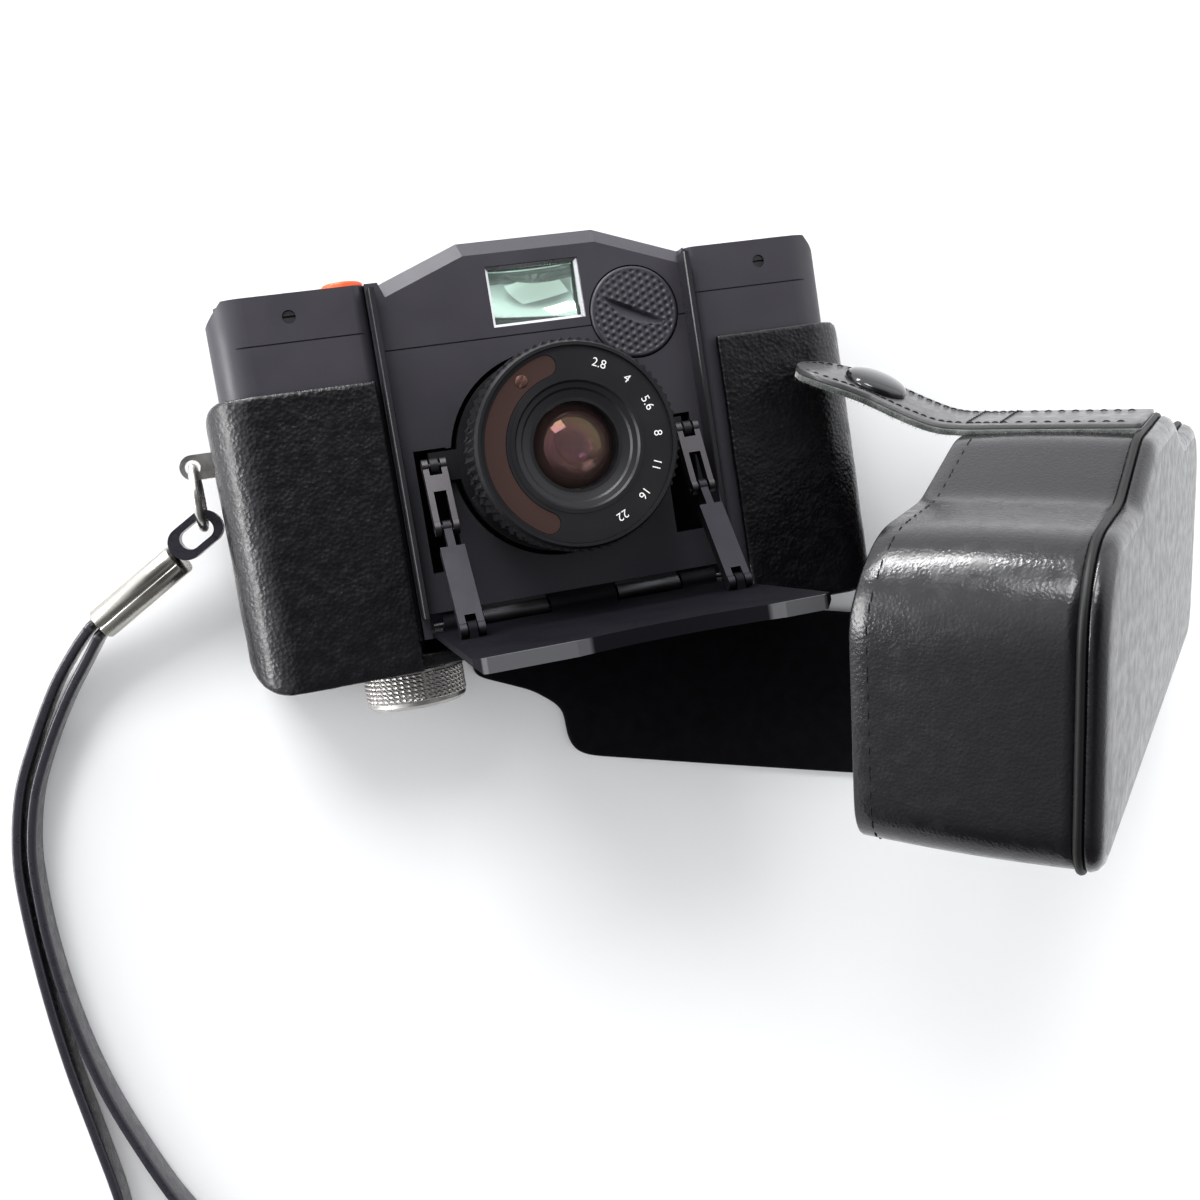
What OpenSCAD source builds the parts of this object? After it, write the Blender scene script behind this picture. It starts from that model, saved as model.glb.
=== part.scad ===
// Compact folding 35 mm camera lying on its back in a leather half-case,
// with the case's hood, closing tongue, thumbscrew and wrist strap.
// +X is the camera's right as the viewer sees it, +Y its top, +Z its lens axis.
// The origin lies in the table plane, under the middle of the camera body.

/* [Camera body] */
// Width of the camera body
body_w = 100; // [98:1:102]
// Y of the flat shoulders beside the viewfinder hump
shoulder_y = 24.7; // [24:0.1:25.2]
// Y of the camera's bottom face
bottom_y = -30.5; // [-31:0.1:-30]
// Y of the flat top of the viewfinder hump
hump_y = 29.6; // [29:0.1:30.2]
// Height of the camera's back above the table, which is the case's leather
back_z = 1.8; // [1.8:0.1:2]
// Height of the front face above the table
front_z = 26.8; // [26.6:0.1:27]
// Radius of the housing's long front edges
edge_r = 6; // [5:0.5:7]
// Y of the seam between front housing and top cover
seam_y = 17.5; // [17:0.1:18]
// X of the raised rails beside the lid
rail_x = 25; // [25:0.1:25.4]

/* [Lens] */
// X of the lens axis
lens_x = -0.8; // [-1:0.1:0]
// Y of the lens axis
lens_y = -4.7; // [-5:0.1:-4.5]
// Radius over the knurl of the front ring
ring_r = 15.5; // [15.3:0.1:15.6]
// Radius of the barrel that both rings turn on
barrel_r = 13; // [12.8:0.1:13.1]
// Height of the barrel's front end above the table
barrel_top = 43.1; // [43:0.1:43.2]
// Radius of the front glass
glass_r = 6.4; // [6:0.1:6.6]

/* [Lid] */
// Width of the lid
lid_w = 48; // [46:0.5:48.5]
// Length of the lid from its hinge
lid_l = 43.6; // [42:0.2:44]
// Thickness of the lid
lid_t = 2; // [1.8:0.1:2.1]

/* [Leather case] */
// Outer width of the half-case
case_w = 105; // [105:0.5:107]
// Y of the upper edges of the grips
grip_top = 10; // [9:0.5:11]
// Y of the case's bottom
case_bottom_y = -35.2; // [-36:0.1:-35]
// Height of the grips' faces above the table
grip_z = 28.5; // [28.4:0.1:29]
// Thickness of the flap's and back panel's leather
leather = 1.8; // [1.8:0.1:2]
// Radius of the thumbscrew's knurled head
screw_r = 8.2; // [8:0.1:8.4]

/* [Hood] */
// Length of the hood along the camera
hood_w = 104; // [100:1:106]
// Height of the hood at the hump
hood_h = 47; // [45:1:49]
// Depth of the hood from its front panel to its free edge
hood_d = 28; // [27:0.5:29]
// Thickness of the hood's leather
hood_t = 1.8; // [1.6:0.1:2]
// Lean of the hood about the camera's Y axis
hood_lean = 44; // [43.5:0.5:44.5]
// Roll of the hood about its own length
hood_roll = 15; // [14.5:0.5:15.5]
// Turn of the hood on the table
hood_turn = 9; // [8.5:0.5:9.5]

/* [Strap] */
// Width of the wrist strap, which stands on its edge
strap_w = 6; // [5.5:0.1:6]
// Thickness of the wrist strap
strap_t = 1.5; // [1.4:0.1:1.6]

/* [Hidden] */
$fn = 64;
fit = 0.05;
gap = 0.3;
hinge_y = -28.6;
hinge_z = 27.3;
lid_in = hinge_y - 0.9;
knuckle_r = 1.5;
link_x = 20.3;
well_r = 16.2;
bore_r = 8;
link_half = 1.85;
prong_t = 0.9;
neck_half = 0.6;
neck_l = 4;
carriage_z = front_z + 0.1;
ear = [-4.2, 31];
knee = [-13.6, 34.6];
stay = [-28.3, 45];
cap = [16, 15.6];
cap_r = 7.2;
cap_top = 27.1;
arc = [104, 241];
window = [-6.9, 15.8, 8, 25.2];
screw_x = -27.5;
screw_z = 15.2;
spool = [-37.5, 14.5];
bush_r = 5.4;
crank = [37.5, 15.5];
lever = [-37, 10];
button = [-28.2, 14];
lug = [-55.6, 1.8, 13.6];
ring_wire = 0.7;
ring_loop = 4.8;
hood_at = [76.6, -61.1, 56.9];
hood_turned = [hood_roll, hood_lean, hood_turn];
bevel = 1.7;
seam_w = 0.2;
seam_d = 0.35;
shoulder_drop = 6;
tongue_w = 14;
tongue_root = 25;
snap_tilt = 64;

// Middle of the clamp, and the way it points in the table plane and down
clamp_at = [-67.6, -16.2, 9.6];
clamp_way = 211.5;
clamp_l = 16.5;
clamp_dip = 12;

// Route of the wrist strap: out along the outer run, round the far end and back
strap_route = [
    [-75.6, -19.9, 7.6], [-79.4, -23.7, 5.8], [-84, -29.4, 3.9], [-88.5, -37.2, 3.2],
    [-92.2, -45.2, 3.2], [-94.4, -54.6, 3.2], [-94.9, -63.2, 3.2], [-94.5, -77, 3.2],
    [-93.3, -91.2, 3.2], [-91.5, -104.2, 3.2], [-89.8, -117.4, 3.2], [-90, -128, 3.2],
    [-92, -138, 3.2], [-92.5, -147, 3.2], [-88.5, -155, 3.2], [-81, -158, 3.2],
    [-73.5, -155, 3.2], [-70, -147, 3.2], [-71.5, -138, 3.2], [-76, -129, 3.2],
    [-81, -119.5, 3.2], [-85.4, -108, 3.2], [-88.8, -97, 3.2], [-91.2, -85, 3.2],
    [-92.5, -72.5, 3.2], [-92.7, -63, 3.2], [-92.2, -54.8, 3.2], [-90.1, -46.2, 3.2],
    [-86.6, -38.6, 3.2], [-82.4, -31.6, 3.9], [-78.1, -25.9, 5.8], [-74.7, -21.5, 7.6]
];

// Flat shape with round corners, the upper pair and the lower pair of their own radius
module rounded(x0, y0, x1, y1, upper, lower) {
    translate([x0 + lower, y0])
        square([x1 - x0 - 2 * lower, lower]);
    translate([x0, y0 + lower])
        square([x1 - x0, y1 - y0 - upper - lower]);
    translate([x0 + upper, y1 - upper])
        square([x1 - x0 - 2 * upper, upper]);
    for (x = [x0 + lower, x1 - lower])
        translate([x, y0 + lower])
            circle(lower);
    for (x = [x0 + upper, x1 - upper])
        translate([x, y1 - upper])
            circle(upper);
}

// Box between two corners
module block(a, b) {
    translate(a)
        cube(b - a);
}

// Extrudes a shape drawn in X and Z along Y, from y0 to y1
module along_y(y0, y1) {
    translate([0, y1, 0])
        rotate([90, 0, 0])
            linear_extrude(y1 - y0)
                children();
}

// Extrudes a shape drawn in Y and Z along X, from x0 to x1
module along_x(x0, x1) {
    translate([x0, 0, 0])
        rotate([90, 0, 90])
            linear_extrude(x1 - x0)
                children();
}

// Round bar along X between x0 and x1
module bar_x(at, x0, x1, r) {
    translate([x0, at[0], at[1]])
        rotate([0, 90, 0])
            cylinder(h = x1 - x0, r = r);
}

// Round bar along Y between y0 and y1, at X and Z
module bar_y(at, y0, y1, r) {
    translate([at[0], y1, at[1]])
        rotate([90, 0, 0])
            cylinder(h = y1 - y0, r = r);
}

// Disc outline with teeth round it
module toothed(r, depth, teeth) {
    polygon([
        for (i = [0 : 2 * teeth - 1])
            (r - depth * (i % 2)) * [cos(180 * i / teeth), sin(180 * i / teeth)]
    ]);
}

// Ring about the lens axis from z0 to z1
module lens_ring(z0, z1, outer, inner) {
    translate([lens_x, lens_y, z0])
        difference() {
            cylinder(h = z1 - z0, r = outer);
            translate([0, 0, -1])
                cylinder(h = z1 - z0 + 2, r = inner);
        }
}

// Section of the body across X and Z
module body_section(inset) {
    rounded(-body_w / 2 + inset, back_z + inset, body_w / 2 - inset, front_z - inset, edge_r - inset, 4);
}

// Front view outline of the body with its hump
module front_outline() {
    half = body_w / 2;
    polygon([
        [-half, seam_y], [-rail_x + 0.6, seam_y], [-rail_x + 0.6, 14.4], [rail_x - 0.6, 14.4],
        [rail_x - 0.6, seam_y], [half, seam_y], [half, shoulder_y - 3], [half - 3, shoulder_y],
        [25.3, shoulder_y], [11.6, hump_y], [-10.5, hump_y], [-23.5, shoulder_y],
        [-half + 3, shoulder_y], [-half, shoulder_y - 3]
    ]);
}

// Bevel along a front edge of the hump, between two points of its outline
module hump_bevel(from, to) {
    run = to - from;
    translate([from[0], from[1], front_z])
        rotate([0, 0, atan2(run[1], run[0])])
            rotate([45, 0, 0])
                block([-0.2, -bevel, -bevel], [norm(run) + 0.2, bevel, bevel]);
}

// Rounding of the shoulders' inner edges, beside the rails
module shoulder_rounding(y0, y1) {
    for (side = [-1, 1])
        along_y(y0, y1)
            difference() {
                translate([side * (rail_x + 1.7) - 1, front_z - 2])
                    square([2, 3]);
                translate([side * (rail_x + 2.7), front_z - 2])
                    circle(2);
            }
}

// Space that the folding links and the carriage's ears move in
module link_slots(z0, z1) {
    for (side = [-1, 1])
        block([side * 20.1 - 2.5, -20.5, z0], [side * 20.1 + 2.5, -1.4, z1]);
}

module lens_well(z0, z1) {
    translate([lens_x, lens_y, z0])
        cylinder(h = z1 - z0, r = well_r);
}

// Feet that hold the fixed barrels of the hinge in the housing
module hinge_feet() {
    for (x = [[-16.2, -5.8], [5.8, 16.2]])
        block([x[0], hinge_y + 0.2, hinge_z - 1.9], [x[1], hinge_y + 1.9, hinge_z]);
}

module knuckle_notch() {
    bar_x([hinge_y, hinge_z], -lid_w / 2 - 0.4, lid_w / 2 + 0.4, knuckle_r + 0.5);
}

module front_housing() {
    color("#17171a")
        difference() {
            along_y(bottom_y, seam_y)
                body_section(0);
            block([-60, bottom_y - 1, 0], [60, seam_y + 1, 4.8]);
            block([-rail_x + 0.6, 14.4, 0], [rail_x - 0.6, seam_y + 1, 40]);
            for (side = [-1, 1])
                block([side * 37.5 - 10.5, -25.4, 4], [side * 37.5 + 10.5, 15.4, 24.6]);
            block([-23.2, -25.8, 4], [23.2, 9.5, 24.8]);
            lens_well(4, 30);
            // Ways for the carriage's arms beside the well
            block([-20, -7, 20], [20, -1.6, 30]);
            link_slots(20, 30);
            knuckle_notch();
            hinge_feet();
            // Fine groove along the seam with the top cover
            block([-60, seam_y - seam_w, front_z - seam_d], [60, seam_y + 1, 40]);
            block([-rail_x, 14.4 - seam_w, front_z - seam_d], [rail_x, 15, 40]);
            shoulder_rounding(bottom_y - 1, seam_y + 1);
            translate([cap[0], cap[1], 5])
                cylinder(h = 30, r = 7.4);
            bar_y([screw_x, screw_z], bottom_y - 1, bottom_y + 3.9, bush_r);
            // Bearings of the take-up spool
            bar_y(spool, -27, 17, 2);
            bar_y(crank, bottom_y - 1, bottom_y + 3.6, 8.6);
            bar_y(crank, bottom_y - 1, bottom_y + 7, 2 + fit);
            block([-body_w / 2 - 1, lug[1] - 2, lug[2] - 0.6], [-47.2, lug[1] + 2, lug[2] + 0.6]);
        }
}

module back_shell() {
    color("#141416")
        difference() {
            intersection() {
                along_y(bottom_y, seam_y)
                    body_section(0);
                block([-60, bottom_y, back_z], [60, seam_y, 4.7]);
            }
            block([-rail_x + 0.6, 14.4, 0], [rail_x - 0.6, seam_y + 1, 6]);
            block([-46, -27.5, 3.6], [46, 13.5, 6]);
        }
}

module top_cover() {
    color("#17171a")
        difference() {
            intersection() {
                translate([0, 0, back_z])
                    linear_extrude(front_z - back_z)
                        front_outline();
                along_y(bottom_y, 40)
                    body_section(0);
            }
            hump_bevel([-23.5, shoulder_y], [-10.5, hump_y]);
            hump_bevel([-10.5, hump_y], [11.6, hump_y]);
            hump_bevel([11.6, hump_y], [25.3, shoulder_y]);
            shoulder_rounding(0, 40);
            block([window[0], window[1], 0], [window[2], window[3], 30]);
            translate([cap[0], cap[1], 5])
                cylinder(h = 30, r = 7.4);
            bar_y(button, 18, 26, 3.4 + fit);
            bar_y(lever, 18, 26, 2.6);
            bar_y([28, 20], 22.5, 26, 2.8);
            block([36.8, 21.5, 8], [41.2, 26, 9.4]);
            block([-9.2, 27.8, 2.4], [9.2, 31, 15]);
            for (x = [-37.5, 38.3])
                translate([x, 21.2, 25.6])
                    cylinder(h = 3, r = 1);
        }
}

module inner_chassis() {
    color("#232326")
        difference() {
            union() {
                block([-23.2, -25.8, 4.9], [23.2, 9.5, 6.2]);
                // Film rails above and below the gate
                for (y = [-18.6, 8.2])
                    block([-23.2, y - 0.7, 4.9], [23.2, y + 0.7, 6.3]);
            }
            block([-18, -16.7, 3], [18, 7.3, 9]);
        }
}

module pressure_plate() {
    color("#3a3a3e")
        block([-20, -19, 3.6], [20, 9.6, 4.8]);
}

module takeup_spool() {
    color("#202022")
        difference() {
            union() {
                bar_y(spool, -25.2, 15.2, 5);
                bar_y(spool, -25.2, -23.8, 8.6);
                bar_y(spool, 13.8, 15.2, 8.6);
                bar_y(spool, -26.8, 16.8, 2 - fit);
            }
            for (turn = [0 : 60 : 300])
                translate([spool[0], 0, spool[1]])
                    rotate([0, turn, 0])
                        block([-0.6, -22, 3.4], [0.6, 11, 6]);
        }
}

module viewfinder_window() {
    color("#c8d4d0", 0.5)
        block([window[0], window[1], 24], [window[2], window[3], 25.4]);
}

module viewfinder_lens() {
    color("#c8d4d0", 0.5)
        intersection() {
            block([window[0], window[1], 14], [window[2], window[3], 18.5]);
            translate([0.5, 20.5, -6])
                sphere(24.3);
        }
}

module eyepiece() {
    color("#101012")
        difference() {
            block([window[0], window[1], back_z], [window[2], window[3], 4.6]);
            block([-3.2, 18, 1], [4.2, 23, 3.6]);
        }
}

module accessory_shoe() {
    color("#8f9094")
        difference() {
            block([-9.1, 27.8, 2.5], [9.1, 30.6, 14.9]);
            block([-7.6, 28.4, 1], [7.6, 30, 14]);
            block([-6, 28.4, 1], [6, 31, 14]);
        }
}

module shutter_button() {
    color("#e8481c")
        difference() {
            union() {
                bar_y(button, 19.5, 26.3, 3.4);
                bar_y(button, 26.3, 26.6, 3);
            }
            bar_y(button, 22, 27, 1.2);
        }
}

module counter_window() {
    color("#d0d4d6")
        bar_y([28, 20], 22.5, 24.9, 2.8);
}

module advance_lever() {
    color("#1b1b1e")
        difference() {
            union() {
                bar_y(lever, 19, 24.9, 2.55);
                bar_y(lever, 24.9, 26.8, 5.6);
                block([lever[0] - 9.5, 24.9, 4.6], [lever[0], 26.4, 9.4]);
                along_y(24.9, 27)
                    translate([lever[0] - 9.5, 7])
                        circle(2.4);
            }
            bar_y(lever, 26.2, 28, 3.6);
        }
}

module self_timer_switch() {
    color("#222225")
        union() {
            block([37, 22, 8.1], [39, 24.9, 9.3]);
            block([36.2, 24.75, 7.2], [39.8, 25.7, 10.2]);
        }
}

module battery_holder() {
    color("#2c2c30")
        difference() {
            translate([cap[0], cap[1], 9])
                cylinder(h = front_z - 10.3, r = 7.4);
            translate([cap[0], cap[1], 10.5])
                cylinder(h = 20, r = 6.2);
            // Slot for the spring contact
            block([cap[0] - 1, cap[1] + 3, 8], [cap[0] + 1, cap[1] + 4, 11]);
        }
}

module battery() {
    color("#b9bbbe")
        union() {
            translate([cap[0], cap[1], 10.5])
                cylinder(h = 10.5, r = 5.9);
            translate([cap[0], cap[1], 21])
                cylinder(h = 0.8, r = 3);
        }
}

module battery_cap() {
    color("#1c1c1f")
        difference() {
            union() {
                translate([cap[0], cap[1], 22.2])
                    cylinder(h = 3.4, r = 6.15);
                translate([cap[0], cap[1], 25.6])
                    cylinder(h = cap_top - 25.9, r = cap_r);
                translate([cap[0], cap[1], cap_top - 0.3])
                    cylinder(h = 0.3, r1 = cap_r, r2 = cap_r - 0.3);
            }
            // Coin slot with a curved floor
            translate([cap[0], cap[1], cap_top + 7.6])
                rotate([0, 0, -27])
                    rotate([90, 0, 0])
                        translate([0, 0, -0.2])
                            cylinder(h = 1.7, r = 9.2);
        }
}

module guide_rails() {
    color("#26262a")
        for (side = [-1, 1])
            along_y(-27, 23.5)
                translate([side * rail_x, front_z])
                    polygon([[-0.6, 0], [0.6, 0], [0.45, 3.2], [0.3, 3.4], [-0.3, 3.4], [-0.45, 3.2]]);
}

module housing_screws() {
    color("#2e2e32")
        for (x = [-37.5, 38.3])
            translate([x, 21.2, 25.6])
                difference() {
                    cylinder(h = 1, r = 0.95);
                    translate([-1.5, -0.15, 0.6])
                        cube([3, 0.3, 1]);
                }
}

// Outline of the lid in X and Z, with the finger cut in its free edge
module lid_outline() {
    top = hinge_z + lid_l;
    difference() {
        polygon([
            [-lid_w / 2, hinge_z + 0.6], [lid_w / 2, hinge_z + 0.6], [lid_w / 2, top - 1.6],
            [lid_w / 2 - 1.6, top], [-lid_w / 2 + 1.6, top], [-lid_w / 2, top - 1.6]
        ]);
        translate([3, top + 41.2])
            circle(43.5);
    }
}

module lid() {
    color("#1a1a1d")
        difference() {
            union() {
                along_y(lid_in - lid_t, lid_in)
                    lid_outline();
                for (x = [[-22.5, -16.6], [-5.4, 5.4], [16.6, 22.5]]) {
                    bar_x([hinge_y, hinge_z], x[0], x[1], knuckle_r);
                    block([x[0], lid_in - 0.4, hinge_z], [x[1], hinge_y, hinge_z + 1.4]);
                }
                // Ears and pivots of the lower links
                for (side = [-1, 1]) {
                    block(
                        [side * link_x - neck_half, lid_in - 0.1, stay[1] - 1.2],
                        [side * link_x + neck_half, stay[0], stay[1] + 1.2]
                    );
                    bar_x(stay, side * link_x - neck_half, side * link_x + neck_half, 1.2);
                    bar_x(stay, side * link_x - link_half, side * link_x + link_half, 0.5);
                }
            }
            // Bevel that runs round the outside of the tray
            for (side = [-1, 1])
                translate([side * lid_w / 2, lid_in - lid_t, hinge_z])
                    rotate([0, 0, 45])
                        block([-0.7, -0.7, -1], [0.7, 0.7, 60]);
            bar_x([hinge_y, hinge_z], -30, 30, 0.6);
            for (x = [[-16.6, -5.4], [5.4, 16.6]])
                bar_x([hinge_y, hinge_z], x[0], x[1], knuckle_r + gap);
        }
}

module lid_hinge_pin() {
    color("#a9abaf")
        union() {
            bar_x([hinge_y, hinge_z], -24, 24, 0.55);
            for (x = [[-16.2, -5.8], [5.8, 16.2]])
                bar_x([hinge_y, hinge_z], x[0], x[1], knuckle_r);
            hinge_feet();
        }
}

// Places a link drawn along Y so that it runs between two points of the Y-Z plane
module on_link(from, to, side) {
    run = to - from;
    translate([side * link_x, from[0], from[1]])
        rotate([atan2(run[1], run[0]), 0, 0])
            children();
}

// Cheek of a link from x0 to x1, round at both ends
module cheek(x0, x1, reach, r) {
    block([x0, 0, -0.8 * r], [x1, reach, 0.8 * r]);
    bar_x([0, 0], x0, x1, r);
    bar_x([reach, 0], x0, x1, r);
}

// Upper link: a fork with its web near the lens block
module upper_link(side) {
    reach = norm(knee - ear);
    color("#8d8d90")
        on_link(ear, knee, side)
            difference() {
                union() {
                    for (x = [-link_half, link_half - prong_t])
                        cheek(x, x + prong_t, reach, 1.2);
                    block([-link_half, 1.8, -0.96], [link_half, 4.5, 0.2]);
                }
                bar_x([0, 0], -3, 3, 0.5 + fit);
                bar_x([reach, 0], -3, 3, 0.5);
            }
}

// Lower link: a plate whose narrow neck stands between the fork's prongs
module lower_link(side) {
    reach = norm(knee - stay);
    color("#6f6f74")
        on_link(stay, knee, side)
            difference() {
                union() {
                    block([-link_half, 0, -0.9], [link_half, reach - neck_l, 0.9]);
                    bar_x([0, 0], -link_half, link_half, 1.1);
                    block([-neck_half, reach - neck_l - 1, -0.8], [neck_half, reach, 0.8]);
                    bar_x([reach, 0], -neck_half, neck_half, 1.1);
                    bar_x([reach, 0], -neck_half - 0.2, neck_half + 0.2, 0.6);
                }
                // Way for the lid's ear
                block([-neck_half - 0.2, -2, -2], [neck_half + 0.2, 2, 2]);
                bar_x([0, 0], -3, 3, 0.5 + fit);
            }
}

module upper_link_left() {
    upper_link(-1);
}

module upper_link_right() {
    upper_link(1);
}

module lower_link_left() {
    lower_link(-1);
}

module lower_link_right() {
    lower_link(1);
}

module lens_carriage() {
    color("#1b1b1e")
        union() {
            lens_ring(carriage_z, 28.9, ring_r, bore_r);
            lens_ring(28.9, barrel_top, barrel_r, bore_r);
            for (side = [-1, 1]) {
                block([side * 17.2 - 3.4, -6.6, carriage_z], [side * 17.2 + 3.4, -2, 28.5]);
                // Ear and pivot of the upper link
                block(
                    [side * link_x - neck_half, ear[0] - 1.2, 28],
                    [side * link_x + neck_half, ear[0] + 1.2, ear[1]]
                );
                bar_x(ear, side * link_x - neck_half, side * link_x + neck_half, 1.2);
                bar_x(ear, side * link_x - link_half, side * link_x + link_half, 0.5);
            }
        }
}

module aperture_ring() {
    color("#1d1d20")
        translate([lens_x, lens_y, 33])
            difference() {
                union() {
                    cylinder(h = 2.2, r = ring_r - 0.7);
                    translate([0, 0, 2.2])
                        linear_extrude(3.6)
                            toothed(ring_r - 0.1, 0.5, 60);
                    // Finger tab of the ring
                    rotate([0, 0, 205])
                        translate([ring_r - 2.2, -1.6, 0])
                            cube([2.6, 3.2, 2.2]);
                }
                translate([0, 0, -1])
                    cylinder(h = 10, r = barrel_r + fit);
            }
}

module focus_ring() {
    color("#141417")
        translate([lens_x, lens_y, 39.1])
            difference() {
                union() {
                    linear_extrude(5.4)
                        toothed(ring_r, 0.5, 72);
                    translate([0, 0, 5.4])
                        cylinder(h = 1, r1 = ring_r - 0.4, r2 = ring_r - 0.8);
                }
                translate([0, 0, -1])
                    cylinder(h = 10, r = barrel_r + fit);
                translate([0, 0, 4.1])
                    cylinder(h = 10, r = 14.25);
            }
}

// Ring sector between two angles, with round ends
module arc_band(inner, outer, from, to) {
    mid = (inner + outer) / 2;
    half = (outer - inner) / 2;
    steps = 24;
    polygon(concat(
        [for (i = [0 : steps]) outer * [cos(from + (to - from) * i / steps), sin(from + (to - from) * i / steps)]],
        [for (i = [steps : -1 : 0]) inner * [cos(from + (to - from) * i / steps), sin(from + (to - from) * i / steps)]]
    ));
    for (a = [from, to])
        translate(mid * [cos(a), sin(a)])
            circle(half - 0.04);
}

module lens_bezel() {
    color("#121215")
        translate([lens_x, lens_y, 43.4])
            difference() {
                union() {
                    cylinder(h = 1.6, r = 14.2);
                    translate([0, 0, barrel_top - 43.4])
                        cylinder(h = 0.8, r = barrel_r - 0.2);
                }
                translate([0, 0, -1])
                    cylinder(h = 4, r = 9.9);
                translate([0, 0, 0.6])
                    linear_extrude(2)
                        arc_band(10.5, 13.7, arc[0], arc[1]);
            }
}

module meter_window() {
    color("#5d4a44")
        translate([lens_x, lens_y, 44])
            linear_extrude(0.85)
                arc_band(10.55, 13.65, arc[0], arc[1]);
}

module lens_cone() {
    color("#1a1a1c")
        translate([lens_x, lens_y, 0])
            rotate_extrude()
                polygon([
                    [glass_r, 41], [bore_r, 41], [bore_r, barrel_top], [9.9, barrel_top], [9.9, 45.1],
                    [9.3, 45.1], [9, 44.7], [8.3, 44.5], [8, 44.2], [7.3, 44], [6.9, 43.9], [glass_r, 43.9]
                ]);
}

module front_element() {
    color("#4a3b52")
        intersection() {
            translate([lens_x, lens_y, 41.2])
                cylinder(h = 4, r = glass_r);
            translate([lens_x, lens_y, 43.9 - 22])
                sphere(22);
        }
}

module inner_elements() {
    color("#51606a")
        union() {
            for (z = [[39.4, 1.4], [35.9, 1.8], [30.4, 3.2]])
                translate([lens_x, lens_y, z[0]])
                    cylinder(h = z[1], r = bore_r);
        }
}

module shutter_blades() {
    color("#3c3c40")
        difference() {
            translate([lens_x, lens_y, 34])
                cylinder(h = 0.6, r = bore_r);
            translate([lens_x, lens_y, 33])
                cylinder(h = 3, r = 2.6, $fn = 4);
        }
}

module tripod_bush() {
    color("#9a9ca0")
        difference() {
            bar_y([screw_x, screw_z], bottom_y, bottom_y + 3.9, bush_r);
            bar_y([screw_x, screw_z], bottom_y - 1, bottom_y + 6, 3.15);
        }
}

module rewind_knob() {
    color("#3a3a3e")
        difference() {
            union() {
                bar_y(crank, bottom_y + 0.2, bottom_y + 3.4, 8.2);
                bar_y(crank, bottom_y + 3.4, bottom_y + 9.5, 2);
                // Fork that turns the cassette
                block([crank[0] - 0.8, bottom_y + 9, crank[1] - 3.2], [crank[0] + 0.8, bottom_y + 12, crank[1] + 3.2]);
            }
            difference() {
                block([crank[0] - 2, bottom_y - 1, crank[1] - 7.2], [crank[0] + 2, bottom_y + 2.1, crank[1] + 5.6]);
                // Pin that the crank folds on
                bar_x([bottom_y + 1, crank[1] + 4.6], crank[0] - 3, crank[0] + 3, 0.25);
            }
        }
}

module rewind_crank() {
    color("#55555a")
        difference() {
            union() {
                block([crank[0] - 1.6, bottom_y + 0.4, crank[1] - 6.6], [crank[0] + 1.6, bottom_y + 1.6, crank[1] + 4.6]);
                bar_x([bottom_y + 1, crank[1] + 4.6], crank[0] - 1.6, crank[0] + 1.6, 0.6);
                bar_y([crank[0], crank[1] - 5.4], bottom_y + 0.4, bottom_y + 2, 1.5);
            }
            bar_x([bottom_y + 1, crank[1] + 4.6], crank[0] - 5, crank[0] + 5, 0.3);
        }
}

module strap_lug() {
    color("#c9cacc")
        difference() {
            union() {
                block([-56, lug[1] - 2, lug[2] - 0.6], [-47.2, lug[1] + 2, lug[2] + 0.6]);
                translate([-56, lug[1], lug[2] - 0.6])
                    cylinder(h = 1.2, r = 2);
            }
            translate([-56, lug[1], lug[2] - 2])
                cylinder(h = 4, r = 1.2);
        }
}

// Outline of the flap that leads to the hood, with its notch by the thumbscrew
module flap_outline() {
    difference() {
        polygon([
            [-16, case_bottom_y], [46, case_bottom_y], [51, -41], [62, -43.6], [82, -39], [90, -30],
            [96, -18], [101, -18], [102, -54], [95, -68], [76, -78.5], [53.8, -73.6], [23.1, -65.2],
            [3, -59.6], [0.4, -58.4], [-0.9, -55.8], [-0.9, -50], [-6, -45.6], [-16, -41]
        ]);
        translate([-9, -54])
            circle(8.6);
    }
}

module case_back() {
    color("#1d1c1d")
        difference() {
            linear_extrude(leather)
                rounded(-case_w / 2, case_bottom_y, case_w / 2, 15, 7, 5);
            translate([0, 6, -1])
                cylinder(h = 4, r = 4.6);
        }
}

module case_flap() {
    color("#202024")
        difference() {
            linear_extrude(leather)
                flap_outline();
            block([-60, case_bottom_y - 0.001, -1], [60, 20, 4]);
        }
}

// Moulded grip: the wall round one end of the camera and its front face
module grip(side, inner_x) {
    outer = case_w / 2;
    top = grip_top;
    difference() {
        intersection() {
            along_y(case_bottom_y, top)
                rounded(-outer, 0, outer, grip_z, 8, 1);
            translate([0, 0, leather])
                linear_extrude(40)
                    rounded(-outer, case_bottom_y, outer, top, 3, 6);
            if (side < 0)
                block([-60, -60, leather], [inner_x, 60, 40]);
            else
                block([inner_x, -60, leather], [60, 60, 40]);
        }
        along_y(bottom_y - gap, top + 1)
            rounded(-body_w / 2 - gap, -10, body_w / 2 + gap, front_z + gap, edge_r, 1);
        if (side < 0)
            block([-60, lug[1] - 2.6, lug[2] - 1.2], [-47, lug[1] + 2.6, lug[2] + 1.2]);
    }
}

module left_grip() {
    color("#1b1a1b")
        difference() {
            grip(-1, -26.4);
            bar_y([screw_x, screw_z], -40, -20, 3.4);
            block([-42, -40, 0], [-20, bottom_y - 2.2, 25]);
        }
}

module right_grip() {
    color("#1b1a1b")
        difference() {
            grip(1, 28.6);
            bar_y(crank, -40, -20, 9.2);
        }
}

module case_bottom() {
    color("#242325")
        difference() {
            block([-41.9, case_bottom_y, leather], [28.5, bottom_y - 2.3, 24]);
            bar_y([screw_x, screw_z], -40, -20, 3.3);
        }
}

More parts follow.
